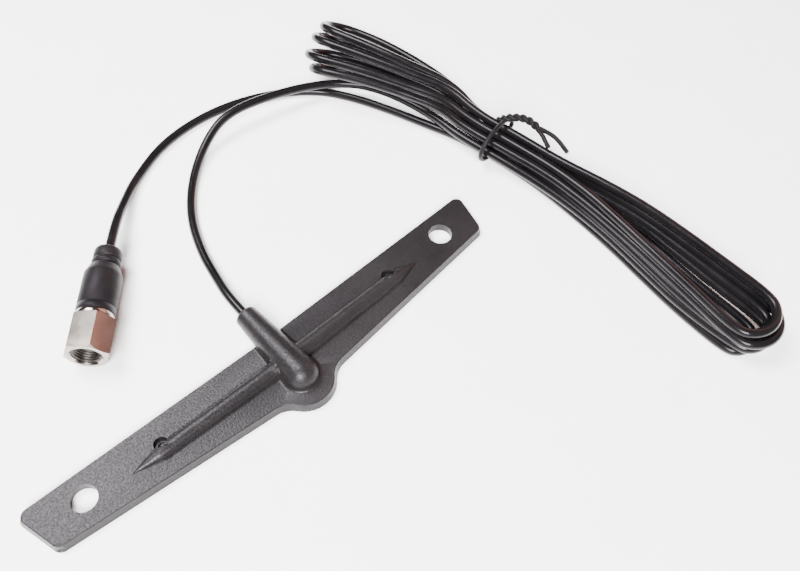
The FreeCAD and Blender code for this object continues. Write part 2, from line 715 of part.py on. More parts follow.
def make_boot():
    """Moulded boot: barrel, shoulder and a ribbed neck that grips the cable."""
    body = new_body("connector_boot")
    lathe(body, "outside", (
        ("0", "{collar_back}"), ("{boot_radius} - 0.35", "{collar_back}"),
        ("{boot_radius}", "{collar_back} + 0.35"), ("{boot_radius}", "{boot_shoulder}"),
        ("{boot_neck_radius}", "{boot_neck}"),
        ("{boot_groove_radius}", "{boot_neck} + 0.1"), ("{boot_groove_radius}", "{boot_neck} + 0.8"),
        ("{boot_rib_radius}", "{boot_neck} + 1.0"), ("{boot_rib_radius}", "{boot_neck} + 2.0"),
        ("{boot_groove_radius}", "{boot_neck} + 2.2"), ("{boot_groove_radius}", "{boot_neck} + 2.8"),
        ("{boot_rim_radius}", "{boot_neck} + 3.0"), ("{boot_rim_radius}", "{boot_rim_back}"),
        ("{boot_end_radius}", "{boot_end}"), ("0", "{boot_end}")))
    lathe(body, "inside", (
        ("0", "{collar_back} - 0.5"), ("{stem_radius}", "{collar_back} - 0.5"),
        ("{stem_radius}", "{ferrule_front}"), ("{ferrule_radius}", "{ferrule_front}"),
        ("{ferrule_radius}", "{ferrule_back} - 1.5"), ("{cable_radius}", "{ferrule_back} - 1.5"),
        ("{cable_radius}", "{boot_end} + 0.5"), ("0", "{boot_end} + 0.5")), "PartDesign::Groove")
    lay_down(body)


make_coupling_nut()
make_plug_body()
make_retaining_ring()
make_plug_inside()
make_boot()


# ---------------------------------------------------------------------------------------
# Cable: two free leads, the hank between them and the wire tie round its middle
# ---------------------------------------------------------------------------------------
def plug_axis_point(distance):
    """A point on the plug's axis, counted back from its mouth."""
    heading = math.radians(size("plug_heading"))
    back = Vector(-math.cos(heading), -math.sin(heading), 0)
    mouth = Vector(size("plug_x"), size("plug_y"), size("plug_level"))
    return mouth + back * distance


HUB_ROUTE = [
    (0.0, 15.5, 3.2), (0.0, 23.0, 3.2), (1.7, 31.5, 2.0), (3.9, 42.0, 1.42), (8.8, 54.5, 1.42),
    (17.3, 66.0, 1.42), (28.5, 74.6, 3.4), (39.6, 78.0, 7.3), (55.7, 77.1, 7.3), (71.9, 72.5, 5.4),
    (81.5, 63.5, 4.4)]
PLUG_ROUTE = [
    (-3.5, 70.5, 3.6), (4.5, 77.8, 1.42), (20.0, 85.3, 1.42), (39.0, 86.5, 1.42),
    (57.0, 81.5, 1.42), (71.5, 72.0, 1.42), (79.0, 60.5, 1.42)]


def make_leads():
    """Tubes for the lead from the barrel and the lead from the plug."""
    hub = [Vector(*point) for point in HUB_ROUTE]
    out_of_boot = [plug_axis_point(size("boot_end")), plug_axis_point(size("boot_end") + 9)]
    plug = out_of_boot + [Vector(*point) for point in PLUG_ROUTE]
    swept("hub_lead", hub, size("cable_radius"))
    swept("connector_lead", plug, size("cable_radius"))


HANK_SECTIONS = (
    # distance along Y, lowest x, highest x, foot, top, share of the width that is flat
    (90.6, 84.0, 96.5, 1.0, 11.2, 0.6),
    (84.0, 76.0, 100.0, 0.0, 14.8, 0.6),
    (76.0, 68.0, 102.6, 0.0, 15.3, 0.6),
    (66.0, 67.0, 105.2, 0.0, 15.3, 0.6),
    (56.0, 71.5, 106.8, 0.0, 15.2, 0.6),
    (40.0, 81.0, 107.4, 0.0, 13.8, 0.6),
    (28.0, 87.4, 105.4, 0.6, 11.4, 0.6),
    (19.0, 90.1, 103.2, 1.85, 9.15, 0.41),
    (12.4, 91.2, 104.3, 1.85, 9.15, 0.41),
    (3.0, 90.6, 106.2, 0.8, 10.4, 0.6),
    (-12.0, 92.6, 107.2, 0.0, 11.4, 0.6),
    (-30.0, 93.0, 109.4, 0.0, 12.4, 0.6),
    (-50.0, 91.0, 110.6, 0.0, 12.5, 0.6),
    (-66.0, 89.0, 110.8, 0.0, 12.5, 0.6),
    (-80.0, 88.6, 110.6, 0.0, 12.5, 0.6),
    (-89.6, 93.0, 108.0, 0.4, 11.6, 0.6),
)


def hank_ring(y, low, high, foot, top, flat):
    """An eight-sided section across the hank."""
    middle = (low + high) / 2
    half = (high - low) / 2
    lower = foot + 0.3 * (top - foot)
    upper = foot + 0.7 * (top - foot)
    corners = [(middle - flat * half, foot), (middle + flat * half, foot), (high, lower),
               (high, upper), (middle + flat * half, top), (middle - flat * half, top),
               (low, upper), (low, lower)]
    points = [Vector(x, y, z) for x, z in corners]
    return Part.makePolygon(points + points[:1])


def make_hank():
    """One closed solid with the outer shape of the tied hank."""
    rings = [hank_ring(*section) for section in HANK_SECTIONS]
    feature = doc.addObject("Part::Feature", "cable_hank")
    feature.Shape = Part.makeLoft(rings, True, True)
    keep(feature, "cable_hank")


def make_tie_ring():
    """The turn of plastic-coated wire round the hank's waist."""
    heading = math.radians(size("tie_heading"))
    along = Vector(math.cos(heading), math.sin(heading), 0)
    across = Vector(-along.y, along.x, 0)
    middle = Vector(size("tie_x"), size("tie_y"), size("tie_level"))
    wide = middle + across * size("tie_half_width")
    high = middle + Vector(0, 0, size("tie_half_height"))
    path = Part.Wire(Part.Ellipse(wide, high, middle).toShape())
    section = Part.Wire(Part.Circle(wide, Vector(0, 0, 1), size("tie_wire_radius")).toShape())
    feature = doc.addObject("Part::Feature", "twist_tie_ring")
    feature.Shape = path.makePipeShell([section], True, True)
    keep(feature, "twist_tie_ring")


TAIL_ROUTES = (
    ((100.6, 14.6, 11.4), (102.0, 12.6, 13.2), (103.8, 9.8, 14.2), (104.8, 6.0, 14.3),
     (104.0, 2.0, 12.9), (102.7, -2.4, 11.6)),
    ((102.6, 15.0, 11.2), (103.4, 13.2, 12.8), (105.2, 10.2, 13.9), (106.4, 5.6, 14.0),
     (106.7, 0.4, 13.2), (105.9, -6.6, 12.0)),
)


def make_tie_tails():
    """The two wire ends above the waist, one after the other where they part."""
    wires = []
    for route in TAIL_ROUTES:
        points = [Vector(*point) for point in route]
        path, radii = rounded_path(points)
        section = Part.Wire(Part.Circle(points[0], points[1] - points[0], size("tail_radius")).toShape())
        wires.append(path.makePipeShell([section], True, False))
        print("tail radii", " ".join("%.1f" % r for r in radii))
    feature = doc.addObject("Part::Feature", "twist_tie_tails")
    feature.Shape = Part.Compound(wires)
    keep(feature, "twist_tie_tails")


make_leads()
make_hank()
make_tie_ring()
make_tie_tails()


# ---------------------------------------------------------------------------------------
# Check and write
# ---------------------------------------------------------------------------------------
doc.recompute()
for item in doc.Objects:
    if "Invalid" in item.State or "Error" in item.State:
        raise RuntimeError("failed object: " + item.Name)
os.makedirs("parts", exist_ok=True)
for item in sub_parts:
    shape = item.Shape
    if shape.isNull() or not shape.isValid() or not shape.Solids:
        raise RuntimeError("bad shape: " + item.Label)
    shape.exportStep(os.path.join("parts", item.Label + ".step"))
    print("%-22s %d solid(s) %9.2f mm3" % (item.Label, len(shape.Solids), shape.Volume))
print(len(sub_parts), "sub-parts written")
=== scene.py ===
# %% [markdown]
# # Soil moisture sensor
#
# A flat black probe with two arms, a raised hub in its middle, and about two metres of
# thin signal cable. The cable is folded into a hank with a wire tie round its waist, and
# ends in a screw-on plug with a free-turning hexagon nut.
#
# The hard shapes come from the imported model, which is loaded here as a fixed frame.
# This notebook adds what the eye wants to see: the real lie of the cable, the twisted
# tie, the thread, small rounds on every edge, and the finish of each surface.

# %% Load the frame
import bpy
import json
import math
from mathutils import Matrix, Vector


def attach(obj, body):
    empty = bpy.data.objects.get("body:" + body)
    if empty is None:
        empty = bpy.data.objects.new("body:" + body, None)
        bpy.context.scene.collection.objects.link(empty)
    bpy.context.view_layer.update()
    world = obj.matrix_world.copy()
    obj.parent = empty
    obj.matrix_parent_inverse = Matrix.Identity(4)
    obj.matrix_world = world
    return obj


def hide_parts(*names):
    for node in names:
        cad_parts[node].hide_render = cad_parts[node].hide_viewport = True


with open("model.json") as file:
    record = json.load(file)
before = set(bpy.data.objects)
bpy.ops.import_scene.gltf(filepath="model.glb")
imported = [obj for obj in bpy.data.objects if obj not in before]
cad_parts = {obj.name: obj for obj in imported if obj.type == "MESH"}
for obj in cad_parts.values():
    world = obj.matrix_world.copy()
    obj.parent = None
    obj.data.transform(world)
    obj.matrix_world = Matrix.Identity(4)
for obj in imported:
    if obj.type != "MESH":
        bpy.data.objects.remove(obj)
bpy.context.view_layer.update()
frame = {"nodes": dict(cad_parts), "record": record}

MM = 0.001
NODES = frame["nodes"]

# %% [markdown]
# ## Camera
#
# The blade lies diagonally, seen from above and in front, with the cable going back to
# the right. A camera is a place and three directions, so the matrix is written from the
# way it looks and the way its right side points. It stands about twenty-three
# centimetres from the hub, so near things look a little larger than far ones.

# %% Camera
CAMERA_AT = Vector((-54.614, -97.880, 201.446)) * MM
CAMERA_RIGHT = Vector((0.734174, -0.678322, 0.029471))
CAMERA_UP = Vector((0.554573, 0.624147, 0.550354))
CAMERA_BACK = Vector((-0.391712, -0.387712, 0.834411))
LENS = 37.692


def place_camera():
    """A camera at its place, with its three directions as matrix columns."""
    data = bpy.data.cameras.new("camera")
    data.lens = LENS
    data.sensor_width = 36.0
    data.clip_start = 0.01
    camera = bpy.data.objects.new("camera", data)
    columns = Matrix((CAMERA_RIGHT, CAMERA_UP, CAMERA_BACK)).transposed().to_4x4()
    camera.matrix_world = Matrix.Translation(CAMERA_AT) @ columns
    bpy.context.scene.collection.objects.link(camera)
    bpy.context.scene.camera = camera
    return camera


camera = place_camera()
print("camera height", round(camera.matrix_world.translation.z, 3), "m")

# %% [markdown]
# ## The cable's way
#
# The signal cable is a thin coaxial one, 2.8 mm across and about two metres long. Its
# two loose ends are short: one leaves the hub and the other leaves the plug's boot, and
# both sweep round over the table into the hank. It is one piece of cable, so it is one
# smooth spline from end to end, and everything below is that spline's control points.
#
# The two leads follow the routes of the imported model's tubes, in millimetres. The
# hub's lead is moved by two millimetres or so, where it climbs into the hank.

# %% The two leads
CABLE_RADIUS = 1.4

HUB_LEAD = [
    (0.0, 15.5, 3.2), (0.0, 23.0, 3.2), (1.7, 31.5, 2.0), (3.9, 42.0, 1.42), (8.8, 54.5, 1.42),
    (17.3, 66.0, 1.42), (28.5, 74.6, 3.4), (39.0, 77.3, 7.3), (53.9, 75.0, 7.3), (70.3, 70.8, 5.4),
    (81.5, 63.5, 4.4)]
PLUG_LEAD = [
    (-16.13, 56.66, 6.62), (-10.11, 63.35, 6.62), (-3.5, 70.5, 3.6), (4.5, 77.8, 1.42),
    (20.0, 85.3, 1.42), (39.0, 86.5, 1.42), (57.0, 81.5, 1.42), (71.5, 72.0, 1.42),
    (79.0, 60.5, 1.42)]
HUB_LEAD_INSIDE = [(86.6, 54.5, 4.2), (89.2, 45.0, 4.4), (90.6, 33.5, 5.0)]
PLUG_LEAD_INSIDE = [(84.6, 47.5, 1.42), (88.6, 35.0, 1.9)]
print(len(HUB_LEAD), "and", len(PLUG_LEAD), "points on the leads")

# %% [markdown]
# ## The hank
#
# The cable goes to and fro ten times through the tie, so there are five loops at one end
# of the hank and four at the other. Each pass through the tie has its own place in the
# bundle: three above, four in the middle and three below.
#
# The four loops at the far end stand on edge, side by side and leaning a little. The
# five at the near end lie flat on each other, the longest at the bottom and a short one
# inside. No two are the same size, because nobody winds a hank that neatly.

# %% Places in the tie
TIE = Vector((97.2, 15.7, 5.5))
TIE_ALONG = Vector((0.170, -0.985, 0.0)).normalized()
TIE_ACROSS = Vector((-TIE_ALONG.y, TIE_ALONG.x, 0.0))
UP = Vector((0.0, 0.0, 1.0))
TIE_REACH = 8.0            # the passes run straight for this far to each side

BUNDLE = {
    "top_left": (-3.8, 2.6), "top": (0.0, 2.6), "top_right": (3.8, 2.6),
    "left": (-5.7, 0.0), "mid_left": (-1.9, 0.0), "mid_right": (1.9, 0.0), "right": (5.7, 0.0),
    "low_left": (-3.8, -2.6), "low": (0.0, -2.6), "low_right": (3.8, -2.6),
}


def in_tie(place, along):
    """A point of one pass, so far along the bundle from the tie's middle."""
    across, up = BUNDLE[place]
    return TIE + TIE_ACROSS * across + TIE_ALONG * along + UP * up


print("bundle width", max(a for a, _ in BUNDLE.values()) * 2 + 2 * CABLE_RADIUS, "mm")

# %% The four loops that stand on edge
FAR_LOOPS = {
    # name: lower pass, upper pass, loop's centre, radius, how far its legs bow out, lean
    "far_a": ("low_right", "right", (93.7, 80.9), 8.4, 5.7, -8.5),
    "far_b": ("mid_left", "top_left", (78.6, 68.2), 8.4, 4.4, -5.0),
    "far_c": ("mid_right", "top", (81.8, 74.2), 8.4, 5.0, -8.0),
    "far_d": ("low", "top_right", (88.2, 78.6), 8.4, 5.2, -7.5),
}
LEG_STEPS = ((0.36, 0.40), (0.62, 0.82), (0.86, 1.0))   # share of the way, share of the spread
FIRST_STEP_OUT = 1.0       # the first step of a leg goes out by this much more
FAR_LEAN_TO = Vector((-54.6, -97.9, 201.5))
FAR_SEAT = 1.45            # level of a loop's lowest strand, and how much of its
FAR_RISE = 0.76            # radius its centre stands above that
FAR_REACH = 1.081          # control points lie outside the round that they draw


def far_loop(name):
    """Lower leg, rounded end and upper leg of a loop that stands on edge."""
    lower, upper, (x, y), radius, bow, turn = FAR_LOOPS[name]
    centre = Vector((x, y, FAR_SEAT + FAR_RISE * radius))
    ahead = Vector((x - TIE.x - 4 * bow, y - TIE.y, 0.0)).normalized()
    lean = (FAR_LEAN_TO - centre).normalized()
    rise = (lean - ahead * lean.dot(ahead)).normalized()
    rise = Matrix.Rotation(math.radians(turn), 3, ahead) @ rise

    def leg(place, side):
        points = [in_tie(place, -TIE_REACH)]
        for share, spread in LEG_STEPS:
            base = TIE.lerp(centre, share)
            base.x += bow * 4 * share * (1 - share)
            if share == LEG_STEPS[0][0]:
                base.x += FIRST_STEP_OUT
            offset = (in_tie(place, 0.0) - TIE) * (1 - spread)
            points.append(base + offset + rise * (side * radius * spread))
        return points

    reach = FAR_REACH * radius
    end = []
    for degrees in (-67.5, -22.5, 22.5, 67.5):
        turn = math.radians(degrees)
        end.append(centre + ahead * (reach * math.cos(turn)) + rise * (reach * math.sin(turn)))
    return leg(lower, -1), end, leg(upper, 1)


print(len(FAR_LOOPS), "loops at the far end")

# %% The five loops that lie flat
NEAR_STATIONS = (-8.0, -22.0, -36.0, -50.0, -64.0)
SETTLING = (0.45, 0.85, 1.0, 1.0, 1.0)   # how far a leg has come down at each station
NEAR_REACH = 1.05
NEAR_LOOPS = {
    # name: pass on one side and the other, level, end's centre and radius, then where each leg
    # is at the stations
    "near_0": ("low_left", "low", 1.45, (98.0, -78.3), 5.8,
               (96.6, 96.8, 96.0, 94.2, 92.6), (99.5, 103.0, 105.8, 105.2, 104.0)),
    "near_1": ("left", "low_right", 4.2, (99.4, -80.2), 6.2,
               (95.4, 96.4, 95.9, 94.1, 92.4), (102.0, 104.5, 106.6, 106.3, 105.6)),
    "near_2": ("mid_left", "mid_right", 6.2, (100.2, -78.4), 6.8,
               (97.8, 97.6, 96.7, 95.1, 93.3), (101.6, 104.2, 106.8, 107.0, 106.9)),
    "near_3": ("top_left", "right", 8.1, (100.3, -79.0), 8.6,
               (97.4, 97.7, 97.0, 95.7, 94.0), (104.4, 106.0, 107.6, 108.2, 108.4)),
    "near_4": ("top", "top_right", 10.7, (100.6, -77.2), 8.2,
               (99.8, 99.4, 97.8, 96.2, 94.6), (103.4, 105.8, 107.9, 108.6, 108.7)),
}


def near_loop(name):
    """One leg, rounded end and other leg of a loop that lies flat."""
    first, second, level, (x, y), radius, first_x, second_x = NEAR_LOOPS[name]

    def leg(place, across):
        start = in_tie(place, TIE_REACH)
        points = [start]
        for at_x, at_y, settled in zip(across, NEAR_STATIONS, SETTLING):
            points.append(Vector((at_x, at_y, start.z + (level - start.z) * settled)))
        return points

    reach = NEAR_REACH * radius
    end = []
    for degrees in (-72, -36, 0, 36, 72):
        turn = math.radians(degrees)
        end.append(Vector((x + reach * math.sin(turn), y - reach * math.cos(turn), level)))
    return leg(first, first_x), end, leg(second, second_x)


print(len(NEAR_LOOPS), "loops at the near end")

# %% String the loops together
WINDING = (
    # each loop, and whether the cable comes into it by its first leg
    ("near_1", True), ("far_a", True), ("near_3", False), ("far_b", False), ("near_2", True),
    ("far_c", True), ("near_4", True), ("far_d", False), ("near_0", False))


def wind_hank():
    """All the loops in the order that the cable runs through them."""
    points = []
    for name, forwards in WINDING:
        legs = near_loop(name) if name in NEAR_LOOPS else far_loop(name)
        first, end, second = legs
        if forwards:
            points += first + end + second[::-1]
        else:
            points += second + end[::-1] + first[::-1]
    return points


def whole_route():
    """The cable from the hub to the plug."""
    points = [Vector(p) for p in HUB_LEAD + HUB_LEAD_INSIDE]
    points.append(in_tie("left", -TIE_REACH))
    points += wind_hank()
    points.append(in_tie("low_left", -TIE_REACH))
    points += [Vector(p) for p in reversed(PLUG_LEAD + PLUG_LEAD_INSIDE)]
    return points


route = whole_route()
print(len(route), "control points")

# %% [markdown]
# ## The cable itself
#
# A NURBS curve with a round bevel is the natural way to make a cable: the bevel is its
# jacket, and moving a control point bends it as a hand would. The order and the end
# points are set after the points are added, or Blender keeps the curve as straight runs.

# %% Draw the cable
def draw_curve(name, points, radius, resolution):
    """A round tube that follows one smooth spline, in metres from points in millimetres."""
    data = bpy.data.curves.new(name, "CURVE")
    data.dimensions = "3D"
    data.bevel_depth = radius * MM
    data.bevel_resolution = 5
    data.use_fill_caps = True
    spline = data.splines.new("NURBS")
    spline.points.add(len(points) - 1)
    for item, point in zip(spline.points, points):
        item.co = (point[0] * MM, point[1] * MM, point[2] * MM, 1.0)
    spline.order_u = 3
    spline.use_endpoint_u = True
    spline.resolution_u = resolution
    data.resolution_u = resolution
    curve = bpy.data.objects.new(name, data)
    bpy.context.scene.collection.objects.link(curve)
    return curve


cable = draw_curve("signal_cable", route, CABLE_RADIUS, 8)
print("cable drawn through", len(route), "points")

# %% [markdown]
# ## Working in edit mode
#
# Each new piece starts as a primitive and is shaped in edit mode. An operator works on
# everything that is selected, so the first helper clears the selection. The second
# finishes a piece: it merges doubled points, turns the faces outwards and smooths all
# but the sharp edges.

# %% Helpers for modelling
def clear_selection():
    """Leave edit mode and select nothing."""
    if bpy.context.object and bpy.context.object.mode != "OBJECT":
        bpy.ops.object.mode_set(mode="OBJECT")
    bpy.ops.object.select_all(action="DESELECT")


def only(piece):
    """Select one piece and make it the active one."""
    clear_selection()
    piece.select_set(True)
    bpy.context.view_layer.objects.active = piece


def finish_mesh(piece, sharp_degrees):
    """Merge doubles, point the faces outwards and smooth the shallow edges."""
    only(piece)
    bpy.ops.object.mode_set(mode="EDIT")
    bpy.ops.mesh.select_all(action="SELECT")
    bpy.ops.mesh.remove_doubles(threshold=1e-6)
    bpy.ops.mesh.normals_make_consistent(inside=False)
    bpy.ops.object.mode_set(mode="OBJECT")
    bpy.ops.object.shade_smooth_by_angle(angle=math.radians(sharp_degrees))
    print(piece.name, len(piece.data.polygons), "faces")


def weigh_normals(piece):
    """Let the large flat faces keep their own direction beside small rounded ones."""
    only(piece)
    weighted = piece.modifiers.new("weighted", "WEIGHTED_NORMAL")
    weighted.keep_sharp = True
    weighted.weight = 100
    bpy.ops.object.modifier_apply(modifier=weighted.name)


def soften_edges(piece, width, degrees=30):
    """A small bevel on every sharp edge, applied at once."""
    only(piece)
    bevel = piece.modifiers.new("edge_rounds", "BEVEL")
    bevel.width = width * MM
    bevel.segments = 2
    bevel.limit_method = "ANGLE"
    bevel.angle_limit = math.radians(degrees)
    bpy.ops.object.modifier_apply(modifier=bevel.name)


def turned(name, profile, sides=72):
    """A closed turning: a circle is extruded and resized along a profile of (radius, height)."""
    clear_selection()
    radius, height = profile[0]
    bpy.ops.mesh.primitive_circle_add(vertices=sides, radius=radius * MM, location=(0, 0, 0))
    piece = bpy.context.object
    piece.name = name
    bpy.ops.object.mode_set(mode="EDIT")
    bpy.ops.mesh.select_all(action="SELECT")
    bpy.ops.transform.translate(value=(0, 0, height * MM))
    for (r0, h0), (r1, h1) in zip(profile, profile[1:] + profile[:1]):
        bpy.ops.mesh.extrude_region_move(TRANSFORM_OT_translate={"value": (0, 0, (h1 - h0) * MM)})
        if r1 != r0:
            bpy.ops.transform.resize(value=(r1 / r0, r1 / r0, 1), center_override=(0, 0, 0))
    bpy.ops.mesh.select_all(action="SELECT")
    bpy.ops.mesh.remove_doubles(threshold=1e-6)
    bpy.ops.mesh.normals_make_consistent(inside=False)
    bpy.ops.object.mode_set(mode="OBJECT")
    return piece


def settle(piece, matrix):
    """Move a piece to its place and leave that place in its mesh."""
    only(piece)
    piece.matrix_world = matrix
    bpy.ops.object.transform_apply(location=True, rotation=True, scale=True)


print("helpers ready")

# %% [markdown]
# ## Plug
#
# Every piece of the plug is round or hexagonal about one axis that lies level over the
# table. Each is modelled upright, with the plug's mouth at height zero and the rest
# below it, and is laid down on that axis when it is finished.

# %% The plug's axis
PLUG_MOUTH = Vector((-39.55, 30.65, 6.62)) * MM
PLUG_HEADING = math.radians(-132.0)


def plug_matrix():
    """Local Z points out of the mouth and local Y points up."""
    forward = Vector((math.cos(PLUG_HEADING), math.sin(PLUG_HEADING), 0.0))
    sideways = UP.cross(forward)
    turn = Matrix((sideways, UP, forward)).transposed().to_4x4()
    return Matrix.Translation(PLUG_MOUTH) @ turn


PLUG_PLACE = plug_matrix()
print("plug heads to", [round(c, 3) for c in PLUG_PLACE.col[2][:3]])

# %% [markdown]
# ### Coupling nut
#
# The nut is a hexagon bar that has been faced in a lathe: its nose is chamfered to a
# round face, and its bore is threaded. A six-sided cylinder gives the bar. The lathe
# work is two boolean steps, one that keeps what lies inside a turned outline and one
# that takes the bore away, and a fine bevel takes the sharpness off.

# %% Nut: bar, chamfers and bore
NUT_ACROSS = 11.0
NUT_LENGTH = 11.0
NUT_TILT = math.radians(-22.6)


def combine(piece, tool, operation):
    """Apply a boolean with a tool that is then thrown away."""
    only(piece)
    step = piece.modifiers.new("cut", "BOOLEAN")
    step.operation = operation
    step.solver = "EXACT"
    step.object = tool
    bpy.ops.object.modifier_apply(modifier=step.name)
    bpy.data.objects.remove(tool)


def make_nut():
    """The hexagon with its turned ends and plain bore."""
    clear_selection()
    corner = NUT_ACROSS / 2 / math.cos(math.radians(30))
    bpy.ops.mesh.primitive_cylinder_add(
        vertices=6, radius=corner * MM, depth=(NUT_LENGTH + 1) * MM,
        location=(0, 0, -NUT_LENGTH / 2 * MM), rotation=(0, 0, NUT_TILT))
    nut = bpy.context.object
    nut.name = "nut"
    bpy.ops.object.transform_apply(location=True, rotation=True, scale=True)
    outline = turned("nut_outline", [
        (0.01, 0.0), (5.35, 0.0), (8.5, -1.76), (8.5, -9.6), (5.7, -NUT_LENGTH),
        (0.01, -NUT_LENGTH)], sides=96)
    combine(nut, outline, "INTERSECT")
    bore = turned("nut_bore", [
        (0.01, 1.0), (4.5, 1.0), (4.5, 0.0), (4.03, -0.45), (4.03, -5.2), (3.8, -5.4),
        (3.8, -7.6), (3.92, -7.7), (3.92, -9.1), (4.35, -9.1), (4.35, -9.8), (3.92, -9.8),
        (3.92, -12.0), (0.01, -12.0)], sides=96)
    combine(nut, bore, "DIFFERENCE")
    soften_edges(nut, 0.10)
    return nut


nut = make_nut()
print("nut has", len(nut.data.polygons), "faces")

# %% [markdown]
# ### Thread
#
# The thread is one fine ridge that winds into the mouth. A triangle is swept along a
# helix by the Screw modifier, its two ends are filled, and it is joined to the nut.

# %% Nut: thread
THREAD_PITCH = 0.75
THREAD_TURNS = 6
THREAD_START = -0.75
THREAD_ROOT = 4.06
THREAD_CREST = 3.64
THREAD_HALF_WIDTH = 0.33


def make_thread():
    """A closed triangular ridge wound along the bore."""
    clear_selection()
    bpy.ops.mesh.primitive_circle_add(vertices=3, radius=0.35 * MM)
    ridge = bpy.context.object
    ridge.name = "thread"
    first = THREAD_START - THREAD_PITCH * THREAD_TURNS
    corners = ((THREAD_ROOT, first - THREAD_HALF_WIDTH),
               (THREAD_ROOT, first + THREAD_HALF_WIDTH), (THREAD_CREST, first))
    for vertex, (radius, height) in zip(ridge.data.vertices, corners):
        vertex.co = (radius * MM, 0, height * MM)
    screw = ridge.modifiers.new("wind", "SCREW")
    screw.axis = "Z"
    screw.screw_offset = THREAD_PITCH * MM
    screw.iterations = THREAD_TURNS
    screw.steps = 64
    screw.render_steps = 64
    only(ridge)
    bpy.ops.object.modifier_apply(modifier=screw.name)
    bpy.ops.object.mode_set(mode="EDIT")
    bpy.ops.mesh.select_all(action="DESELECT")
    bpy.ops.mesh.select_non_manifold(extend=False)
    bpy.ops.mesh.fill()
    bpy.ops.object.mode_set(mode="OBJECT")
    finish_mesh(ridge, 30)
    return ridge


thread = make_thread()
only(nut)
thread.select_set(True)
bpy.ops.object.join()
finish_mesh(nut, 30)
settle(nut, PLUG_PLACE)

# %% [markdown]
# ### Boot
#
# The boot is one soft moulding over the back of the plug. A straight barrel with a
# moulded step near its front runs into a rounded shoulder, then comes a narrow neck with
# two grooves that let it flex, and a rim that closes on the cable.

# %% Boot
def make_boot():
    """Outside from the front edge to the rim, then back through the cable's hole."""
    boot = turned("boot", [
        (2.32, -12.62), (4.75, -12.62), (5.05, -12.72), (5.22, -12.92), (5.28, -13.25),
        (5.28, -14.6), (5.12, -14.75), (5.12, -14.9), (5.30, -15.05), (5.30, -24.7),
        (5.22, -25.3), (5.02, -25.8), (4.66, -26.7), (4.36, -27.4), (4.2, -27.8), (4.08, -28.0),
        (3.5, -28.15), (3.38, -28.45), (3.5, -28.75), (3.92, -28.9), (4.0, -29.1),
        (4.0, -29.85), (3.92, -30.05), (3.5, -30.2), (3.38, -30.5), (3.5, -30.8),
        (3.84, -30.95), (3.92, -31.15), (3.9, -32.6), (3.82, -33.3), (3.6, -33.8), (3.2, -34.1),
        (2.4, -34.2), (1.5, -34.2), (1.42, -34.2), (1.42, -30.0), (2.32, -29.0)])
    finish_mesh(boot, 60)
    settle(boot, PLUG_PLACE)
    return boot


boot = make_boot()

# %% Collar behind the nut
def make_collar():
    """The plug's nickel sleeve, neck and collar, with softened edges."""
    collar = turned("plug_sleeve", [
        (2.1, -5.45), (2.25, -5.4), (2.5, -5.4), (2.6, -5.55), (2.6, -7.8), (3.82, -7.8),
        (3.82, -9.1), (3.3, -9.1), (3.3, -9.8), (3.82, -9.8), (3.82, -11.1), (4.95, -11.1),
        (5.12, -11.18), (5.2, -11.35), (5.2, -12.4), (5.12, -12.54), (4.9, -12.6),
        (2.3, -12.6), (2.3, -23.0), (1.5, -23.0), (1.5, -12.0), (2.1, -12.0)])
    soften_edges(collar, 0.05, degrees=40)
    finish_mesh(collar, 40)
    settle(collar, PLUG_PLACE)
    return collar


collar = make_collar()

# %% [markdown]
# ## Wire tie
#
# The tie is a plastic-coated wire. One turn goes round the waist of the hank, then its
# two ends are twisted together into a small arch and lie down on the cable, a little
# apart. The turn starts as a torus and is squeezed to an oval. The ends are two curves:
# where they are twisted, each winds round a common line, half a turn from the other.

# %% The turn round the waist
WIRE_RADIUS = 0.7
RING_HALF_WIDTH = 8.9
RING_HALF_HEIGHT = 5.6
RING_MIDDLE = TIE + TIE_ALONG * 2.4 + UP * 0.85


def make_tie_ring():
    """A torus squeezed to the bundle's oval and turned across it."""
    clear_selection()
    bpy.ops.mesh.primitive_torus_add(
        major_segments=96, minor_segments=20, major_radius=RING_HALF_WIDTH * MM,
        minor_radius=WIRE_RADIUS * MM)
    ring = bpy.context.object
    ring.name = "tie_ring"
    squeeze = RING_HALF_HEIGHT / RING_HALF_WIDTH
    for vertex in ring.data.vertices:
        angle = math.atan2(vertex.co.y, vertex.co.x)
        middle = Vector((math.cos(angle), math.sin(angle), 0)) * (RING_HALF_WIDTH * MM)
        across = vertex.co - middle
        vertex.co = Vector((middle.x, middle.y * squeeze, 0)) + across
    turn = Matrix((TIE_ACROSS, UP, -TIE_ALONG)).transposed().to_4x4()
    settle(ring, Matrix.Translation(RING_MIDDLE * MM) @ turn)
    finish_mesh(ring, 60)
    return ring


tie_ring = make_tie_ring()

# %% The twisted ends
ARCH = [
    (101.4, 16.3, 9.9), (101.9, 14.3, 12.0), (103.0, 12.0, 13.4), (104.6, 9.2, 14.0),
    (105.3, 6.2, 13.8), (105.2, 3.6, 13.2)]
TAIL_A = [(104.4, 1.4, 12.9), (103.6, -0.6, 12.4), (102.9, -2.8, 11.7)]
TAIL_B = [(106.2, 1.2, 13.1), (106.8, -1.6, 12.9), (106.4, -5.0, 12.3), (105.6, -8.0, 11.9)]
ARCH_STEPS = 34
TAIL_RADIUS = 0.72
TWIST_RADIUS = 0.62
TWIST_PITCH = 4.6


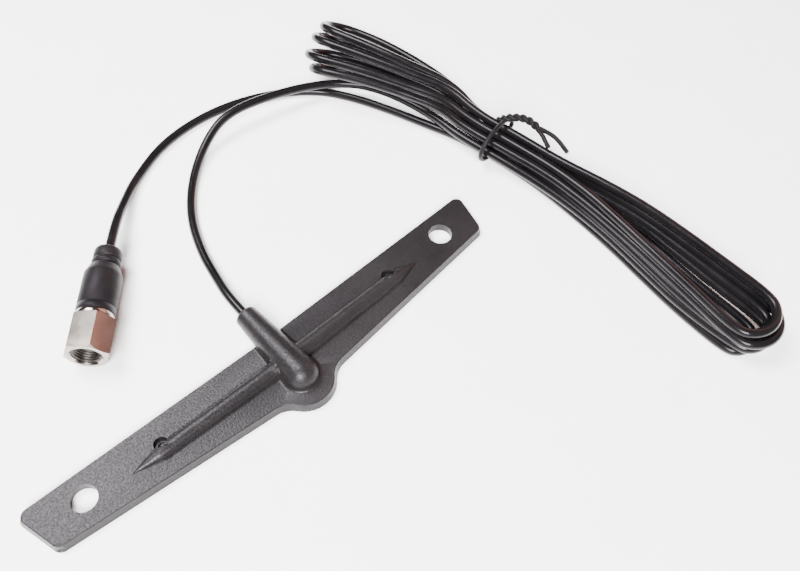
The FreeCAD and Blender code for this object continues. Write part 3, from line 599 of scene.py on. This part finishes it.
def along_arch(count):
    """Evenly spaced points and directions on the arch's own smooth line."""
    guide = draw_curve("arch_guide", ARCH, 0.0, 24)
    line = bpy.data.meshes.new_from_object(guide)
    points = [v.co / MM for v in line.vertices]
    bpy.data.objects.remove(guide)
    lengths = [0.0]
    for a, b in zip(points, points[1:]):
        lengths.append(lengths[-1] + (b - a).length)
    result = []
    for k in range(count):
        want = lengths[-1] * k / (count - 1)
        i = max(j for j, s in enumerate(lengths[:-1]) if s <= want + 1e-9)
        share = (want - lengths[i]) / (lengths[i + 1] - lengths[i])
        here, ahead = points[i], points[i + 1] - points[i]
        result.append((here.lerp(points[i + 1], share), ahead.normalized(), want))
    return result


def make_tail(name, phase, tail):
    """One wire: wound round the arch, then lying free."""
    points = []
    for middle, ahead, distance in along_arch(ARCH_STEPS):
        side = ahead.cross(Vector((1.0, 0.2, 0.1))).normalized()
        other = ahead.cross(side)
        turn = phase + math.tau * distance / TWIST_PITCH
        points.append(middle + (side * math.cos(turn) + other * math.sin(turn)) * TWIST_RADIUS)
    points += [Vector(p) for p in tail]
    wire = draw_curve(name, points, TAIL_RADIUS, 3)
    only(wire)
    bpy.ops.object.convert(target="MESH")
    wire = bpy.context.object
    finish_mesh(wire, 60)
    return wire


tail_a = make_tail("tie_tail_a", 0.0, TAIL_A)
tail_b = make_tail("tie_tail_b", math.pi, TAIL_B)

# %% [markdown]
# ## Shell
#
# The shell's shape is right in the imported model, but its triangles are loose and it has
# a sharp inner corner where the barrel stands on the blade. A moulding always has a
# small hollow round there, and it catches the light. Copies of the two halves are merged
# and smoothed, and a hollow round is added on each side of the barrel.

# %% Copies of the two halves
def smooth_copy(node, name):
    """A merged and smoothed copy of a node's mesh."""
    piece = bpy.data.objects.new(name, NODES[node].data.copy())
    bpy.context.scene.collection.objects.link(piece)
    finish_mesh(piece, 28)
    weigh_normals(piece)
    return piece


shell = smooth_copy("top_shell", "shell")
cover = smooth_copy("back_cover", "cover")

# %% Hollow rounds
FACE_LEVEL = 2.75
HOLLOW_STEPS = 8
HOLLOW_RADIUS = 1.0
STRIP_THICKNESS = 0.12

BARREL_MOUTH_Y = 15.5      # the barrel's open end, its round end and their radii
BARREL_END_Y = -9.0
BARREL_MOUTH_RADIUS = 3.2
BARREL_END_RADIUS = 4.9
BARREL_LIFT = 0.45         # its axis lies this far over the blade's face
FOOT_FROM_Y = 5.6          # the rounds run from here to the round end


def hollow_round(foot):
    """A strip with a hollow arc section beside a round rib.

    Each row of foot gives a point of the rib's axis over the blade's face, the way out
    from it and the rib's radius there.
    """
    clear_selection()
    bpy.ops.mesh.primitive_grid_add(
        x_subdivisions=len(foot) - 1, y_subdivisions=HOLLOW_STEPS, size=1.0)
    strip = bpy.context.object
    strip.name = "strip"
    for index, vertex in enumerate(strip.data.vertices):
        row, column = divmod(index, len(foot))
        (x, y), (out_x, out_y), rib = foot[column]
        out = Vector((out_x, out_y, 0.0)).normalized()
        climb = math.asin((HOLLOW_RADIUS - BARREL_LIFT) / (rib + HOLLOW_RADIUS))
        distance = (rib + HOLLOW_RADIUS) * math.cos(climb)
        turn = math.radians(270) + (climb - math.radians(90)) * row / HOLLOW_STEPS
        across = distance + HOLLOW_RADIUS * math.cos(turn)
        height = HOLLOW_RADIUS + HOLLOW_RADIUS * math.sin(turn)
        vertex.co = (Vector((x, y, FACE_LEVEL)) + out * across + UP * height) * MM
    return strip


def barrel_foot(side):
    """Rows beside the barrel and its round end, on one side."""
    rows = []
    growth = (BARREL_END_RADIUS - BARREL_MOUTH_RADIUS) / (BARREL_MOUTH_Y - BARREL_END_Y)
    for k in range(31):
        y = FOOT_FROM_Y - (FOOT_FROM_Y - BARREL_END_Y) * k / 30
        rows.append(((0.0, y), (side, 0.0), BARREL_MOUTH_RADIUS + (BARREL_MOUTH_Y - y) * growth))
    for k in range(1, 21):
        turn = math.radians(90.0 * k / 20)
        way_out = (side * math.cos(turn), -math.sin(turn))
        rows.append(((0.0, BARREL_END_Y), way_out, BARREL_END_RADIUS))
    return rows


strips = [hollow_round(barrel_foot(side)) for side in (-1, 1)]
print(len(strips), "hollow rounds")

# %% Join the rounds to the shell
def close_strip(strip):
    """Give a strip a back so that it's a closed sliver."""
    only(strip)
    bpy.ops.object.mode_set(mode="EDIT")
    bpy.ops.mesh.select_all(action="SELECT")
    bpy.ops.mesh.remove_doubles(threshold=1e-7)
    bpy.ops.mesh.normals_make_consistent(inside=False)
    bpy.ops.object.mode_set(mode="OBJECT")
    up = sum(p.normal.z * p.area for p in strip.data.polygons)
    if up < 0:
        bpy.ops.object.mode_set(mode="EDIT")
        bpy.ops.mesh.select_all(action="SELECT")
        bpy.ops.mesh.flip_normals()
        bpy.ops.object.mode_set(mode="OBJECT")
    thick = strip.modifiers.new("back", "SOLIDIFY")
    thick.thickness = STRIP_THICKNESS * MM
    thick.offset = -1.0
    bpy.ops.object.modifier_apply(modifier=thick.name)
    bpy.ops.object.shade_smooth_by_angle(angle=math.radians(40))


for strip in strips:
    close_strip(strip)
only(shell)
for strip in strips:
    strip.select_set(True)
bpy.context.view_layer.objects.active = shell
bpy.ops.object.join()
print("shell has", len(shell.data.polygons), "faces")

# %% [markdown]
# ## Finishes
#
# Each finish is a small node tree on Object coordinates, so that its grain is in real
# millimetres and stays with the piece. The helper makes the tree's usual parts: a
# pattern, a colour and a roughness that follow it, a bump and a sheen.

# %% Material helpers
def new_material(name, metallic=0.0):
    """A material with its shader and coordinates ready."""
    material = bpy.data.materials.new(name)
    material.use_nodes = True
    tree = material.node_tree
    shader = tree.nodes["Principled BSDF"]
    shader.inputs["Metallic"].default_value = metallic
    where = tree.nodes.new("ShaderNodeTexCoord")
    return material, tree, shader, where.outputs["Object"]


def noise(tree, where, per_metre, detail):
    """Noise at so many features to the metre."""
    node = tree.nodes.new("ShaderNodeTexNoise")
    node.inputs["Scale"].default_value = per_metre
    node.inputs["Detail"].default_value = detail
    node.inputs["Roughness"].default_value = 0.55
    tree.links.new(where, node.inputs["Vector"])
    return node.outputs["Fac"]


def colour(tree, shader, value, low, high):
    """The base colour drifts between two colours with a value."""
    node = tree.nodes.new("ShaderNodeValToRGB")
    for element, shade, place in zip(node.color_ramp.elements, (low, high), (0.35, 0.65)):
        element.color = (*shade, 1.0)
        element.position = place
    tree.links.new(value, node.inputs["Fac"])
    tree.links.new(node.outputs["Color"], shader.inputs["Base Color"])


def rough(tree, shader, value, low, high):
    """The roughness drifts between two levels with a value."""
    node = tree.nodes.new("ShaderNodeMapRange")
    node.inputs["From Min"].default_value = 0.3
    node.inputs["From Max"].default_value = 0.7
    node.inputs["To Min"].default_value = low
    node.inputs["To Max"].default_value = high
    tree.links.new(value, node.inputs["Value"])
    tree.links.new(node.outputs["Result"], shader.inputs["Roughness"])


def bump(tree, shader, height, strength, distance):
    """Bump from a height, chained after any bump that is there already."""
    node = tree.nodes.new("ShaderNodeBump")
    node.inputs["Strength"].default_value = strength
    node.inputs["Distance"].default_value = distance * MM
    tree.links.new(height, node.inputs["Height"])
    for link in shader.inputs["Normal"].links:
        tree.links.new(link.from_socket, node.inputs["Normal"])
    tree.links.new(node.outputs["Normal"], shader.inputs["Normal"])


def sheen(shader, level, tint):
    """How strong the surface's reflection is, and its colour."""
    shader.inputs["Specular IOR Level"].default_value = level
    shader.inputs["Specular Tint"].default_value = (*tint, 1.0)


print("material helpers ready")

# %% [markdown]
# ### Blade plastic
#
# The blade is black, satin and finely spark-eroded: the mould's grain gives it a dry
# sheen instead of a shine. Its colour drifts a very little between warm and cold.

# %% Blade plastic
def blade_plastic():
    """Satin black with the mould's grain."""
    material, tree, shader, where = new_material("blade_plastic")
    drift = noise(tree, where, 45.0, 3.0)
    colour(tree, shader, drift, (0.0058, 0.0052, 0.0056), (0.0095, 0.0084, 0.0088))
    grain = noise(tree, where, 1900.0, 2.0)
    rough(tree, shader, grain, 0.28, 0.50)
    bump(tree, shader, grain, 0.8, 0.09)
    bump(tree, shader, noise(tree, where, 420.0, 3.0), 0.15, 0.05)
    sheen(shader, 1.0, (0.165, 0.158, 0.172))
    return material


BLADE = blade_plastic()

# %% [markdown]
# ### Cable jacket
#
# The jacket is glossy PVC. It is smooth to the touch, but the braid under it shows as a
# slight unevenness, and handling leaves faint dull marks.

# %% Cable jacket
def cable_jacket():
    """Glossy black with a slight unevenness."""
    material, tree, shader, where = new_material("cable_jacket")
    drift = noise(tree, where, 60.0, 3.0)
    colour(tree, shader, drift, (0.0030, 0.0028, 0.0032), (0.0055, 0.0049, 0.0053))
    rough(tree, shader, noise(tree, where, 320.0, 4.0), 0.16, 0.27)
    bump(tree, shader, noise(tree, where, 900.0, 2.0), 0.04, 0.04)
    bump(tree, shader, noise(tree, where, 160.0, 1.0), 0.08, 0.08)
    sheen(shader, 1.0, (0.115, 0.108, 0.118))
    return material


JACKET = cable_jacket()

# %% [markdown]
# ### Boot and tie
#
# Both are softer and duller than the jacket. The tie's coating is drawn over its wire,
# which leaves it a little lumpy.

# %% Boot moulding
def boot_moulding():
    """Dull black rubber."""
    material, tree, shader, where = new_material("boot_moulding")
    drift = noise(tree, where, 90.0, 3.0)
    colour(tree, shader, drift, (0.0050, 0.0047, 0.0053), (0.0085, 0.0076, 0.0081))
    rough(tree, shader, noise(tree, where, 500.0, 4.0), 0.42, 0.54)
    bump(tree, shader, noise(tree, where, 2200.0, 3.0), 0.25, 0.03)
    sheen(shader, 0.9, (0.065, 0.052, 0.062))
    return material


BOOT = boot_moulding()

# %% Tie coating
def tie_coating():
    """Dull black, a little lumpy."""
    material, tree, shader, where = new_material("tie_coating")
    drift = noise(tree, where, 200.0, 3.0)
    colour(tree, shader, drift, (0.0045, 0.0043, 0.0048), (0.0085, 0.008, 0.0085))
    rough(tree, shader, noise(tree, where, 900.0, 4.0), 0.38, 0.55)
    bump(tree, shader, noise(tree, where, 1800.0, 3.0), 0.4, 0.06)
    sheen(shader, 0.9, (0.05, 0.047, 0.05))
    return material


TIE_COATING = tie_coating()

# %% [markdown]
# ### Bright nickel
#
# The plug's metal is brass, turned and then nickel plated. Plating evens out the lines
# that the lathe left, so only a faint unevenness is seen. Nickel is a little warmer than
# chromium.

# %% Bright nickel
def bright_nickel():
    """Plated metal, nearly a mirror."""
    material, tree, shader, where = new_material("bright_nickel", metallic=1.0)
    drift = noise(tree, where, 120.0, 4.0)
    colour(tree, shader, drift, (0.305, 0.272, 0.245), (0.35, 0.315, 0.285))
    rough(tree, shader, noise(tree, where, 260.0, 3.0), 0.13, 0.18)
    bump(tree, shader, noise(tree, where, 1500.0, 4.0), 0.03, 0.01)
    return material


NICKEL = bright_nickel()

# %% [markdown]
# ### Inner pieces
#
# The board, its parts and the plug's inside can't be seen while the sensor is whole.
# Each still gets its own material, all made by one function from a table.

# %% Finishes of the inner pieces
INNER_FINISHES = {
    # slot: darker and lighter colour, metallic, roughness range, grains to the metre
    "board": ((0.010, 0.075, 0.030), (0.020, 0.120, 0.045), 0.0, (0.28, 0.42), 700.0),
    "copper": ((0.60, 0.26, 0.13), (0.80, 0.42, 0.24), 1.0, (0.25, 0.40), 900.0),
    "chip_black": ((0.018, 0.018, 0.019), (0.032, 0.031, 0.032), 0.0, (0.50, 0.65), 2500.0),
    "ceramic": ((0.30, 0.22, 0.15), (0.48, 0.38, 0.27), 0.0, (0.45, 0.60), 2000.0),
    "braid": ((0.50, 0.46, 0.40), (0.78, 0.74, 0.68), 1.0, (0.30, 0.45), 3000.0),
    "dielectric": ((0.72, 0.72, 0.69), (0.86, 0.86, 0.83), 0.0, (0.35, 0.50), 900.0),
    "wire_copper": ((0.60, 0.26, 0.13), (0.80, 0.42, 0.24), 1.0, (0.20, 0.35), 1500.0),
    "solder": ((0.55, 0.55, 0.57), (0.76, 0.76, 0.78), 1.0, (0.25, 0.42), 1200.0),
    "clamp_steel": ((0.42, 0.42, 0.43), (0.62, 0.62, 0.62), 1.0, (0.30, 0.45), 1500.0),
    "resin": ((0.020, 0.020, 0.024), (0.040, 0.040, 0.045), 0.0, (0.20, 0.35), 500.0),
    "ring_steel": ((0.42, 0.42, 0.43), (0.62, 0.62, 0.62), 1.0, (0.28, 0.42), 1500.0),
    "insulator_white": ((0.70, 0.70, 0.67), (0.84, 0.84, 0.81), 0.0, (0.40, 0.55), 800.0),
    "contact_gold": ((0.72, 0.48, 0.18), (0.90, 0.66, 0.32), 1.0, (0.18, 0.30), 1500.0),
    "gasket_rubber": ((0.012, 0.012, 0.012), (0.025, 0.024, 0.024), 0.0, (0.60, 0.75), 1500.0),
    "ferrule_brass": ((0.60, 0.42, 0.18), (0.78, 0.60, 0.32), 1.0, (0.28, 0.42), 1200.0),
}


def inner_finish(name, dark, light, metallic, dull, grain):
    """One material from a row of the table."""
    material, tree, shader, where = new_material(name, metallic)
    colour(tree, shader, noise(tree, where, grain / 6, 3.0), dark, light)
    rough(tree, shader, noise(tree, where, grain / 2, 4.0), *dull)
    bump(tree, shader, noise(tree, where, grain, 3.0), 0.15, 0.03)
    return material


FINISHES = {slot: inner_finish("inner_" + slot, *values) for slot, values in INNER_FINISHES.items()}
FINISHES.update(shell=BLADE, cover=BLADE, cable_black=JACKET, nut_nickel=NICKEL,
                body_nickel=NICKEL, boot_black=BOOT, tie_black=TIE_COATING)
print(len(FINISHES), "finishes")

# %% [markdown]
# ## Dressing the model
#
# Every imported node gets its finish. Each new piece gets one too, rides on a body of the
# frame and stands for the nodes that it replaces. The tie's ends are one node, so the
# first tail stands for both.

# %% Put the finishes on
def dress(piece, material):
    """Give a piece one material and nothing else."""
    piece.data.materials.clear()
    piece.data.materials.append(material)


for item in frame["record"]["subparts"]:
    dress(NODES[item["node"]], FINISHES[item["material_slot"]])

PIECES = (
    # piece, body, the nodes it stands for, slot
    (shell, "sensor", ("top_shell",), "shell"),
    (cover, "sensor", ("back_cover",), "cover"),
    (cable, "sensor", ("hub_lead", "connector_lead", "cable_hank"), "cable_black"),
    (nut, "coupling_nut", ("coupling_nut",), "nut_nickel"),
    (collar, "sensor", ("plug_body",), "body_nickel"),
    (boot, "sensor", ("connector_boot",), "boot_black"),
    (tie_ring, "sensor", ("twist_tie_ring",), "tie_black"),
    (tail_a, "sensor", ("twist_tie_tails",), "tie_black"),
    (tail_b, "sensor", (), "tie_black"),
)
for piece, body, stands_for, slot in PIECES:
    dress(piece, FINISHES[slot])
    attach(piece, body)
    if stands_for:
        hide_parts(*stands_for)
print(len(PIECES), "pieces placed on their bodies")

# %% [markdown]
# ### Bore with painted shade
#
# The inside of the nut is painted darker than its outside, as painted shade in the bore.
# The faces inside the bore take a second material.

# %% Bore with painted shade
BORE_RADIUS = 4.4
BORE_FROM = -0.35


def painted_shade_nickel():
    """The same metal, dimmed as painted shade."""
    material, tree, shader, where = new_material("painted_shade_nickel", metallic=1.0)
    drift = noise(tree, where, 300.0, 4.0)
    # The dark colour is painted shade for the inside of the bore.
    colour(tree, shader, drift, (0.050, 0.045, 0.042), (0.10, 0.09, 0.082))
    rough(tree, shader, noise(tree, where, 700.0, 4.0), 0.26, 0.40)
    bump(tree, shader, noise(tree, where, 1500.0, 3.0), 0.06, 0.02)
    return material


nut.data.materials.append(painted_shade_nickel())
to_plug = PLUG_PLACE.inverted()
# Faces inside the bore take the second material, the painted shade.
for face in nut.data.polygons:
    middle = to_plug @ face.center
    if math.hypot(middle.x, middle.y) < BORE_RADIUS * MM and middle.z < BORE_FROM * MM:
        face.material_index = 1
print(sum(face.material_index for face in nut.data.polygons), "dark faces in the bore")

# %% [markdown]

# %% [markdown]
# ## Table and light
#
# The sensor lies on a plain pale sheet. The light is a studio's: a soft box over the far
# side that draws long highlights along the cable, a strong one at the front left, a weak
# warm one at the right that colours one face of the nut, and an even surround. The
# camera sees the surround brighter than it lights, so a low view ends in a pale horizon
# and the blacks stay black.

# %% Floor
FLOOR_SIZE = 6.0


def make_floor():
    """A wide sheet of matt paper."""
    clear_selection()
    bpy.ops.mesh.primitive_plane_add(size=FLOOR_SIZE, location=(0, 0, 0))
    floor = bpy.context.object
    floor.name = "floor"
    material, tree, shader, where = new_material("paper")
    drift = noise(tree, where, 40.0, 2.0)
    colour(tree, shader, drift, (0.91, 0.91, 0.91), (0.93, 0.93, 0.93))
    shader.inputs["Roughness"].default_value = 0.9
    dress(floor, material)
    return floor


floor = make_floor()
print("floor at height", floor.location.z)

# %% Lights
TARGET = Vector((0.02, 0.02, 0.0))
SURROUND_AS_LIGHT = 0.14
SURROUND_AS_SEEN = 1.6


def soft_box(name, place, side, watts, tint):
    """A square light that faces the middle of the scene."""
    data = bpy.data.lights.new(name, "AREA")
    data.shape = "RECTANGLE"
    data.size = side
    data.size_y = side
    data.energy = watts
    data.color = tint
    lamp = bpy.data.objects.new(name, data)
    lamp.location = place
    lamp.rotation_euler = (TARGET - Vector(place)).to_track_quat("-Z", "Y").to_euler()
    bpy.context.scene.collection.objects.link(lamp)


soft_box("key", (-0.10, 0.30, 0.60), 0.35, 15.0, (1.0, 1.0, 1.0))
soft_box("fill", (-0.55, -0.55, 0.75), 0.5, 70.0, (1.0, 0.99, 0.98))
soft_box("warm", (0.75, -0.05, 0.38), 0.65, 3.0, (1.0, 0.45, 0.38))
world = bpy.data.worlds.new("surround")
bpy.context.scene.world = world
world.use_nodes = True
air = world.node_tree.nodes["Background"]
air.inputs["Color"].default_value = (1.0, 0.86, 0.84, 1.0)
seen = world.node_tree.nodes.new("ShaderNodeLightPath")
level = world.node_tree.nodes.new("ShaderNodeMapRange")
level.inputs["To Min"].default_value = SURROUND_AS_LIGHT
level.inputs["To Max"].default_value = SURROUND_AS_SEEN
world.node_tree.links.new(seen.outputs["Is Camera Ray"], level.inputs["Value"])
world.node_tree.links.new(level.outputs["Result"], air.inputs["Strength"])
print("lights placed")

# %% The end
bpy.context.view_layer.update()
